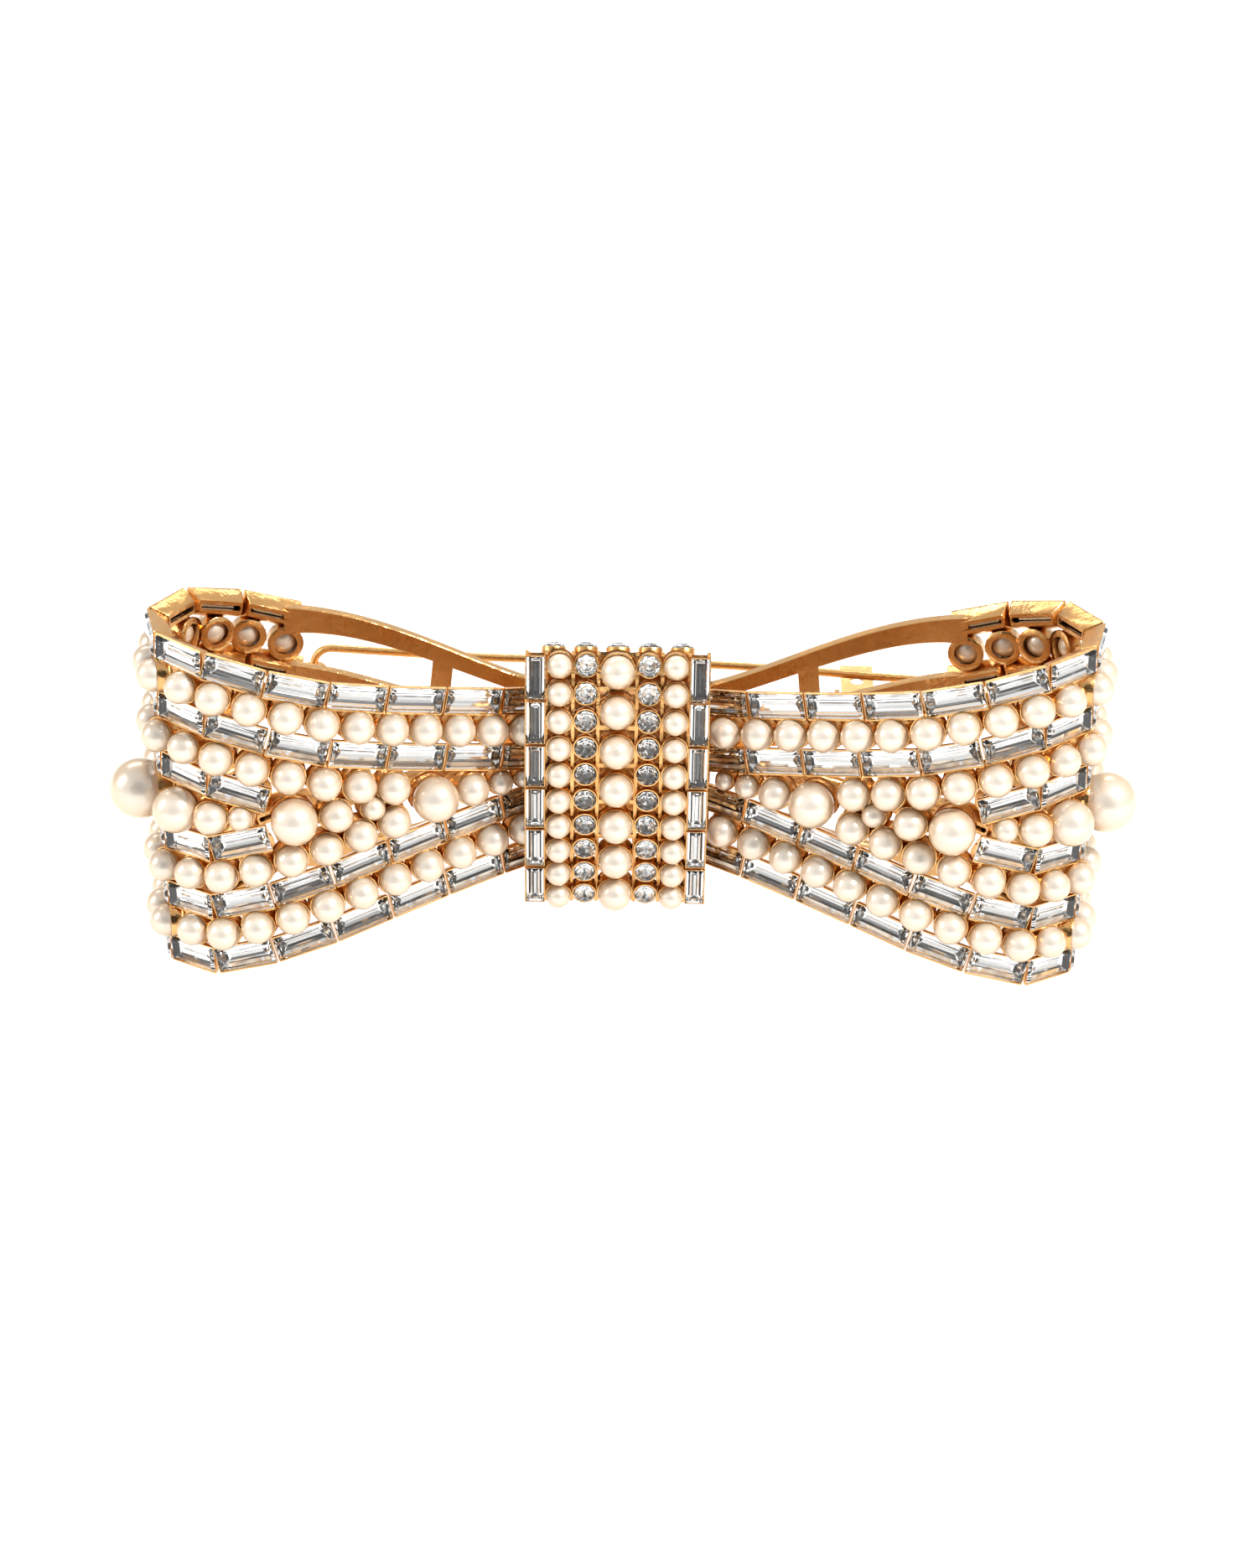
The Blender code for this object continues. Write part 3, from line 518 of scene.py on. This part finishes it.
# ------------------------------------------------------------------ pearls
# Imitation pearls with a cream nacre coat: pale in the middle, with a faint cloudiness and a soft
# gloss. Towards the edge the colour turns warm: a painted reflection of the gold cups.
def nacre_material():
    made, nodes, links, shader = new_material("nacre", {
        "IOR": 1.62, "Metallic": 0.34, "Coat Weight": 0.9, "Coat Roughness": 0.16})
    place = nodes.new("ShaderNodeTexCoord")
    cloud = nodes.new("ShaderNodeTexNoise")
    cloud.inputs["Scale"].default_value = 420.0
    cloud.inputs["Detail"].default_value = 3.0
    facing = nodes.new("ShaderNodeLayerWeight")
    facing.inputs["Blend"].default_value = 0.64
    centre = nodes.new("ShaderNodeMix")
    centre.data_type = "RGBA"
    centre.inputs["A"].default_value = (0.76, 0.68, 0.57, 1)
    centre.inputs["B"].default_value = (0.84, 0.77, 0.68, 1)
    # Painted reflection: by facing angle the cream turns to warm gold towards the rim, standing in for the
    # gold cups seen in the pearl's edge.
    edge = nodes.new("ShaderNodeMix")
    edge.data_type = "RGBA"
    edge.inputs["B"].default_value = (0.70, 0.45, 0.22, 1)
    gloss = nodes.new("ShaderNodeMapRange")
    gloss.inputs["To Min"].default_value = 0.27
    gloss.inputs["To Max"].default_value = 0.34
    links.new(place.outputs["Object"], cloud.inputs["Vector"])
    links.new(cloud.outputs["Fac"], centre.inputs["Factor"])
    links.new(centre.outputs["Result"], edge.inputs["A"])
    links.new(facing.outputs["Facing"], edge.inputs["Factor"])
    links.new(edge.outputs["Result"], shader.inputs["Base Color"])
    links.new(cloud.outputs["Fac"], gloss.inputs["Value"])
    links.new(gloss.outputs["Result"], shader.inputs["Roughness"])
    return made


NACRE = nacre_material()


def ball_profile(radius, lift, rings):
    """Half circle from the back pole to the front pole, as (radius, out)."""
    turn = np.linspace(-np.pi / 2, np.pi / 2, rings)
    across = radius * np.cos(turn)
    across[[0, -1]] = radius * 0.02
    return np.column_stack([across, lift + radius * np.sin(turn)])


def pearl(radius, lift, origin, axes):
    """One pearl at its place, finer when it is large."""
    sides, rings = (28, 19) if radius > LARGE_FROM else (20, 13)
    points = origin + turned(ball_profile(radius, lift, rings), sides) @ axes
    return points, ring_faces(rings, sides, cap_start=True, cap_end=True), False


for side_name, side in SIDES:
    for node, pearls in loop_pearls(side_name, side):
        groups = [pearl(radius, lift, *band_frame(side, k, height)) for k, height, radius, lift in pearls]
        points, faces = gather(groups)
        add_piece(f"{node}_nacre", points, faces, [NACRE], [node], "pearl", smooth=60)


# ------------------------------------------------------------------ back rails
# Behind the loops the boxes end and four flat rails a side run on to the knot, tapering and
# falling together, with one short strut between each outer and inner rail.
RAIL_X = np.array([41.0, 36.0, 30.7, 26.0, 22.0, 16.0, 9.0])
OUTER_RAIL = (np.array([17.5, 16.9, 15.9, 14.2, 12.5, 10.2, 7.8]),
              np.array([14.0, 14.0, 13.2, 11.7, 10.2, 8.0, 5.6]))
INNER_RAIL = (np.array([10.1, 9.3, 8.1, 6.7, 5.3, 3.9, 2.2]),
              np.array([6.9, 6.7, 5.8, 4.3, 3.1, 1.9, 0.4]))
RAIL_NEAR, RAIL_FAR, RAIL_RIM = 22.1, 23.4, 0.12
STRUT_X, STRUT_LEAN, STRUT_HALF = 22.0, 0.6, 1.25


def smooth_through(x, stations, values):
    """Values between stations, eased by a cubic fit through all of them."""
    middle = stations.mean()
    return np.polyval(np.polyfit(stations - middle, values, 4), x - middle)


def bar(rings):
    """A closed bar from rings of corners, one after the other."""
    rings = np.asarray(rings, float)
    return rings.reshape(-1, 3), ring_faces(len(rings), rings.shape[1], cap_start=True, cap_end=True)


def rail_section(at, above, below):
    """Eight corners of a rail's section at one x, its edges broken by a small rim."""
    near, far, rim = RAIL_NEAR, RAIL_FAR, RAIL_RIM
    around = ((near, below + rim), (near, above - rim), (near + rim, above), (far - rim, above),
              (far, above - rim), (far, below + rim), (far - rim, below), (near + rim, below))
    return [(at, depth, height) for depth, height in around]


for side_name, side in SIDES:
    groups = []
    x = np.linspace(RAIL_X[0], RAIL_X[-1], 28)
    for level, sign in LEVELS:
        for top, low in (OUTER_RAIL, INNER_RAIL):
            edges = zip(x, smooth_through(x, RAIL_X, top), smooth_through(x, RAIL_X, low))
            rings = np.array([rail_section(*edge) for edge in edges]) * (side, 1, sign)
            groups.append((*bar(rings), side * sign < 0))
        top_of = smooth_through(STRUT_X, RAIL_X, OUTER_RAIL[1]) + 0.5
        low_of = smooth_through(STRUT_X + STRUT_LEAN / 2, RAIL_X, INNER_RAIL[0]) - 0.5
        corners = ((-STRUT_HALF, RAIL_NEAR + 0.06), (STRUT_HALF, RAIL_NEAR + 0.06),
                   (STRUT_HALF, RAIL_FAR - 0.1), (-STRUT_HALF, RAIL_FAR - 0.1))
        strut = [[(side * (STRUT_X + lean + half), depth, sign * height) for half, depth in corners]
                 for lean, height in ((STRUT_LEAN, low_of), (0.0, top_of))]
        groups.append((*bar(strut), side * sign < 0))
    points, faces = gather(groups)
    add_piece(f"{side_name}_back_rails", points, faces, [GOLD], smooth=35)


# ------------------------------------------------------------------ knot
# An openwork sheet of bars and ties, arched up and down and bent back over the loops. On its
# face stand seven columns of cups: baguettes at the edges, small pearls, round crystals, and
# large pearls in the middle. Five more crystals stand on the upper return.
KNOT_X, KNOT_Z, KNOT_Y, KNOT_RADIUS = -0.9, 1.5, 7.6, 70.0
KNOT_LOW_ARC, KNOT_TOP_ARC, KNOT_PLATE = -16.2, 15.8, 0.9


def knot_frame_at(arc, across):
    """Origin and unit vectors along, up and out at an arc length up the knot's face."""
    angle = arc / KNOT_RADIUS
    depth, height = KNOT_Y + KNOT_RADIUS * (1 - np.cos(angle)), KNOT_Z + KNOT_RADIUS * np.sin(angle)
    origin = np.array([KNOT_X + across, depth, height])
    out = np.array([0.0, -np.cos(angle), np.sin(angle)])
    along = np.array([1.0, 0.0, 0.0])
    return origin, np.stack([along, np.cross(out, along), out])


def column(count, pitch):
    """Evenly stepped places, centred on nought."""
    return (np.arange(count) - (count - 1) / 2) * pitch


def round_crystal(radius, base):
    """A brilliant: pavilion, girdle and crown rings of eight, each turned half a side."""
    rings = ((0.10, -0.62), (0.55, -0.42), (0.98, 0.0), (0.98, 0.08), (0.80, 0.24), (0.52, 0.36))
    points = []
    for number, (share, out) in enumerate(rings):
        turn = (np.arange(8) + (number % 2 if number in (1, 4) else 0) * 0.5) * np.pi / 4
        points.append(np.column_stack([radius * share * np.cos(turn), radius * share * np.sin(turn),
                                       np.full(8, base + radius * out)]))
    faces = []
    for quad in ring_faces(len(rings), 8, cap_start=True, cap_end=True):
        faces += [quad] if len(quad) != 4 else [quad[:3], [quad[0], quad[2], quad[3]]]
    shell = [np.vstack(points)[:24] * (1.03, 1.03, 1.0) - (0, 0, 0.03 * radius),
             np.vstack(points)[:24][::-1] * (1.09, 1.09, 1.0) - (0, 0, 0.10 * radius)]
    shell_points = np.vstack([shell[0], shell[1].reshape(3, 8, 3)[:, ::-1].reshape(-1, 3)])
    shell_faces = [face[::-1] for face in ring_faces(6, 8)]
    shell_faces += [list(range(8)), list(range(40, 48))[::-1]]
    return np.vstack(points), faces, shell_points, shell_faces


def seated_cup(radius, lift, floor, origin, axes):
    """A round cup with nothing but its washer below the floor."""
    profile = np.array(cup_profile(radius, lift))
    profile[:, 1] = np.maximum(profile[:, 1], floor)
    profile[:2, 1] = floor - 0.1
    return round_cup(profile, origin, axes)


def upright(points):
    """A lying stone or cup turned to stand up the knot."""
    return points[:, [1, 0, 2]] * (-1, 1, 1)


SMALL_ARCS, CENTRE_ARCS, UPRIGHT_ARCS = column(10, 3.3), column(7, 4.75), column(6, 5.35)
CRYSTAL_ACROSS, PEARL_ACROSS, UPRIGHT_ACROSS = 3.65, 6.75, 9.55
CRYSTAL_R, SMALL_PEARL, CENTRE_PEARL = 1.3, (1.45, 1.2), (2.0, 1.5)
UPRIGHT_HALF_LONG, UPRIGHT_HALF_HIGH, UPRIGHT_LIFT = 2.5, 1.05, 1.0
FACE_FLOOR, UPPER_FLOOR = -0.9, -0.2

side_cup = cup_points * (UPRIGHT_HALF_LONG / STONE_HALF_LONG, 0.70, 0.62) + (0, 0, UPRIGHT_LIFT)
cups = []
for _, side in SIDES:
    for across, radius, lift in ((CRYSTAL_ACROSS, 1.32, 0.9), (PEARL_ACROSS, *SMALL_PEARL)):
        for arc in SMALL_ARCS:
            cups.append(seated_cup(radius, lift, FACE_FLOOR, *knot_frame_at(arc, side * across)))
    for arc in UPRIGHT_ARCS:
        origin, axes = knot_frame_at(arc, side * UPRIGHT_ACROSS)
        cups.append((origin + upright(side_cup) @ axes, cup_faces, False))
cups += [seated_cup(*CENTRE_PEARL, FACE_FLOOR, *knot_frame_at(arc, 0.0)) for arc in CENTRE_ARCS]
add_piece("knot_cups", *gather(cups), [GOLD], smooth=45)

KNOT_BACK, UPPER_FALL, LOWER_RISE = 24.3, 7.4, 5.2


def knot_path():
    """The sheet's middle line as depth and height, from the lower return's end to the upper's."""
    arcs = np.linspace(KNOT_LOW_ARC, KNOT_TOP_ARC, 33)
    reach = KNOT_RADIUS - KNOT_PLATE / 2
    depth = KNOT_Y + KNOT_RADIUS - reach * np.cos(arcs / KNOT_RADIUS)
    height = KNOT_Z + reach * np.sin(arcs / KNOT_RADIUS)
    low = np.array([(KNOT_BACK, height[0] - 0.9 + LOWER_RISE), (depth[0] + 1.8, height[0] - 0.9),
                    (depth[0] + 0.45, height[0] - 0.68)])
    top = np.array([(depth[-1] + 0.46, height[-1] + 0.2), (KNOT_BACK, height[-1] + 0.2 - UPPER_FALL)])
    return np.vstack([low, np.column_stack([depth, height]), top])


def along_path(path, start, end):
    """The part of a path between two distances from its beginning."""
    reach = np.concatenate([[0], np.cumsum(np.linalg.norm(np.diff(path, axis=0), axis=1))])
    inside = reach[(reach > start) & (reach < end)]
    at = np.concatenate([[start], inside, [end]])
    return np.column_stack([np.interp(at, reach, path[:, 0]), np.interp(at, reach, path[:, 1])])


def strip_bar(path, low, high, thickness):
    """A flat bar just inside a path, between two places across the knot; corners mitred."""
    run = np.diff(path, axis=0)
    run /= np.linalg.norm(run, axis=1)[:, None]
    before, after = np.vstack([run[:1], run]), np.vstack([run, run[-1:]])
    corner = before + after
    corner /= np.linalg.norm(corner, axis=1)[:, None]
    normal = np.stack([-corner[:, 1], corner[:, 0]], axis=1) / np.sum(corner * after, axis=1)[:, None]
    outer, inner = path + normal * (thickness / 2 - 0.15), path - normal * (thickness / 2 + 0.1)
    rings = [[(KNOT_X + low, *out), (KNOT_X + high, *out), (KNOT_X + high, *back), (KNOT_X + low, *back)]
             for out, back in zip(outer, inner)]
    return bar(rings)


KNOT_PATH = knot_path()
lower_length = np.linalg.norm(np.diff(KNOT_PATH[:4], axis=0), axis=1).sum()
whole_length = np.linalg.norm(np.diff(KNOT_PATH, axis=0), axis=1).sum()
front_middle = lower_length - KNOT_LOW_ARC * (1 - KNOT_PLATE / 2 / KNOT_RADIUS)
BAR_PLACES, BAR_HALF, BAR_THICK = (2.25, 5.2, 8.35, 10.58), 0.2, 0.65
TIE_REACH, TIE_HALF, CENTRE_TIE_HALF, TIE_THICK = 10.5, 0.28, 0.25, 0.5
LOW_TIES, UPPER_TIES = (0.3, 4.0, 8.0, 12.0), (0.3, 3.6, 7.2, 10.8, 13.4)
bars = []
for across in BAR_PLACES:
    for side in (-1, 1):
        strip = strip_bar(KNOT_PATH, side * across - BAR_HALF, side * across + BAR_HALF, BAR_THICK)
        bars.append((*strip, False))
ties = [(front_middle + step, 2.4, TIE_REACH) for step in column(10, 3.27)]
ties += [(place, 0.0, TIE_REACH) for place in LOW_TIES]
ties += [(whole_length - place, 0.0, TIE_REACH) for place in UPPER_TIES]
for place, near, far in ties:
    path = along_path(KNOT_PATH, max(place - TIE_HALF, 0.0), min(place + TIE_HALF, whole_length))
    for low, high in ((-far, -near), (near, far)) if near else ((-far, far),):
        bars.append((*strip_bar(path, low, high, TIE_THICK), False))
for step in column(8, 4.7):
    middle = front_middle + step
    path = along_path(KNOT_PATH, middle - CENTRE_TIE_HALF, middle + CENTRE_TIE_HALF)
    bars.append((*strip_bar(path, -2.2, 2.2, TIE_THICK), False))
add_piece("knot_openwork_sheet", *gather(bars), [GOLD], ["knot_frame"], smooth=30)

FALL = np.array([KNOT_BACK, KNOT_PATH[-1, 1]]) - KNOT_PATH[-2]
FALL /= np.linalg.norm(FALL)
top_groups, top_kinds, top_painted_reflections, top_cups = [], [], [], []
knot_turns = np.random.default_rng(11)
depth, height = KNOT_PATH[-2] + 5.5 * FALL + KNOT_PLATE / 2 * np.array([-FALL[1], FALL[0]])
axes = np.array([(1.0, 0.0, 0.0), (0.0, FALL[0], FALL[1]), (0.0, -FALL[1], FALL[0])])
for across in column(5, 3.8):
    origin = np.array([KNOT_X + across, depth, height])
    for points, faces, kind in stone_parts(round_crystal(CRYSTAL_R, 0.72)):
        top_groups.append((origin + points @ axes, faces, False))
        top_kinds += [kind] * len(faces)
        # A random painted glint grey on each facet of the foil.
        top_painted_reflections += knot_turns.uniform(0.4, 1.0, len(faces)).tolist()
    top_cups.append(seated_cup(CRYSTAL_R, 0.9, UPPER_FLOOR, origin, axes))
points, faces = gather(top_groups)
add_piece("knot_upper_crystals", points, faces, [CRYSTAL, FOIL], ["knot_crystals_top"], "crystal",
          faces_material=top_kinds, painted_reflection=top_painted_reflections)
add_piece("knot_upper_cups", *gather(top_cups), [GOLD], smooth=45)

groups = [pearl(*CENTRE_PEARL, *knot_frame_at(arc, 0.0)) for arc in CENTRE_ARCS]
add_piece("knot_centre_nacre", *gather(groups), [NACRE], ["knot_pearls_centre"], "pearl", smooth=60)

UPRIGHT_STONE = baguette(UPRIGHT_HALF_LONG, UPRIGHT_HALF_HIGH)
# Painted reflections on the knot's foils, top to bottom: the upper three upright baguettes dark, the lower
# three light; the round crystals bright at the top and darkest in the middle.
UPRIGHT_PAINTED_REFLECTIONS = (0.0, 0.02, 0.06, 1.15, 1.2, 1.2)
CRYSTAL_PAINTED_REFLECTIONS = (1.8, 2.0, 0.35, 0.2, 0.1, 0.2, 0.35, 0.6, 0.8, 0.9)
for side_name, side in SIDES:
    groups = [pearl(*SMALL_PEARL, *knot_frame_at(arc, side * PEARL_ACROSS)) for arc in SMALL_ARCS]
    add_piece(f"knot_{side_name}_nacre", *gather(groups), [NACRE], [f"knot_pearls_{side_name}"], "pearl",
              smooth=60)

    groups, kinds, painted_reflections = [], [], []
    for arc, painted_reflection in zip(SMALL_ARCS[::-1], CRYSTAL_PAINTED_REFLECTIONS):
        origin, axes = knot_frame_at(arc, side * CRYSTAL_ACROSS)
        spin = knot_turns.uniform(0, np.pi / 4)
        twist = np.array([[np.cos(spin), np.sin(spin), 0], [-np.sin(spin), np.cos(spin), 0], [0, 0, 1]])
        for points, faces, kind in stone_parts(round_crystal(CRYSTAL_R, 0.7)):
            groups.append((origin + points @ twist @ axes, faces, False))
            kinds += [kind] * len(faces)
            # Each facet of the foil gets a random painted glint grey, scaled by its stone's painted value.
            painted_reflections += (painted_reflection * knot_turns.uniform(0.0, 1.6, len(faces))).tolist()
    points, faces = gather(groups)
    add_piece(f"knot_{side_name}_crystals", points, faces, [CRYSTAL, FOIL], [f"knot_crystals_{side_name}"],
              "crystal", faces_material=kinds, painted_reflection=painted_reflections)

    groups, kinds, painted_reflections = [], [], []
    for arc, painted_reflection in zip(UPRIGHT_ARCS[::-1], UPRIGHT_PAINTED_REFLECTIONS):
        origin, axes = knot_frame_at(arc, side * UPRIGHT_ACROSS)
        for points, faces, kind in stone_parts(UPRIGHT_STONE):
            standing = upright(points * (1, 1, 0.7) + (0, 0, UPRIGHT_LIFT))
            groups.append((origin + standing @ axes, faces, False))
            kinds += [kind] * len(faces)
        # Painted reflection stripes on the upright baguette's foil, dark or light by its place.
        painted_reflections += [1.0] * len(UPRIGHT_STONE[1]) + painted_step_reflections(stone_tones, painted_reflection)
    points, faces = gather(groups)
    add_piece(f"knot_{side_name}_baguette_stones", points, faces, [CRYSTAL, FOIL],
              [f"knot_baguettes_{side_name}"], "crystal", faces_material=kinds, painted_reflection=painted_reflections)


# ------------------------------------------------------------------ wire arm
# One round wire, 1 mm thick, closed into a long loop: a straight hinge run at the left, two
# bowed legs, and a round end that the catch holds.
ARM_X = np.array([-39.3, -28.0, -14.0, 0.0, 12.0, 25.0, 39.5])
ARM_Y = np.array([37.8, 36.4, 35.2, 34.7, 34.0, 32.2, 30.2])
WIRE_R, WIRE_SPREAD, WIRE_CORNER = 0.5, 4.2, 2.4


def arm_path():
    """The wire's middle line: half circle, leg, corner, hinge run, corner, leg; depth eased over x."""
    tip, turn = np.radians(np.linspace(-90, 90, 17)), np.radians(np.linspace(90, 180, 9))
    tip_x = ARM_X[-1] - WIRE_SPREAD
    leg = np.linspace(tip_x, ARM_X[0] + WIRE_CORNER, 44)[1:-1]
    x = np.concatenate([leg, ARM_X[0] + WIRE_CORNER * (1 + np.cos(turn))])
    z = np.concatenate([np.full(len(leg), WIRE_SPREAD), WIRE_SPREAD - WIRE_CORNER * (1 - np.sin(turn))])
    x = np.concatenate([tip_x + WIRE_SPREAD * np.cos(tip), x, x[::-1]])
    z = np.concatenate([WIRE_SPREAD * np.sin(tip), z, -z[::-1]])
    depth = np.polyval(np.polyfit(ARM_X, ARM_Y, 5), x)
    return np.column_stack([x, depth, KNOT_Z + z])


def closed_wire(path, radius, sides):
    """A round section carried along a closed path, each ring square to it."""
    tangent = np.roll(path, -1, axis=0) - np.roll(path, 1, axis=0)
    tangent /= np.linalg.norm(tangent, axis=1)[:, None]
    up = np.array([0.0, 1.0, 0.0]) - tangent * tangent[:, 1:2]
    up /= np.linalg.norm(up, axis=1)[:, None]
    across = np.cross(tangent, up)
    turn = (np.arange(sides) * 2 * np.pi / sides)[None, :, None]
    rings = path[:, None] + radius * (up[:, None] * np.cos(turn) + across[:, None] * np.sin(turn))
    return rings.reshape(-1, 3), ring_faces(len(path), sides, around=True)


add_piece("wire_arm", *closed_wire(arm_path(), WIRE_R, 14), [GOLD], ["clip_arm"], body="arm", smooth=60)

# ------------------------------------------------------------------ plain metal parts
# The saddle, post, centre plate, barrette base, rivets and catch bracket are stamped brass in
# the same plating; the leaf spring and the catch jaws are plated spring steel.
STEEL = plated("spring_steel", (0.66, 0.43, 0.19), (0.50, 0.29, 0.11), 1500.0, 0.22, 0.34, 0.15)
for node in ("bow_saddle", "knot_post", "centre_plate", "barrette_base", "base_rivet_left",
             "base_rivet_right", "catch_bracket"):
    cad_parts[node].data.materials[0] = GOLD
for node in ("tension_spring", "catch_jaw_upper", "catch_jaw_lower"):
    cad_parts[node].data.materials[0] = STEEL
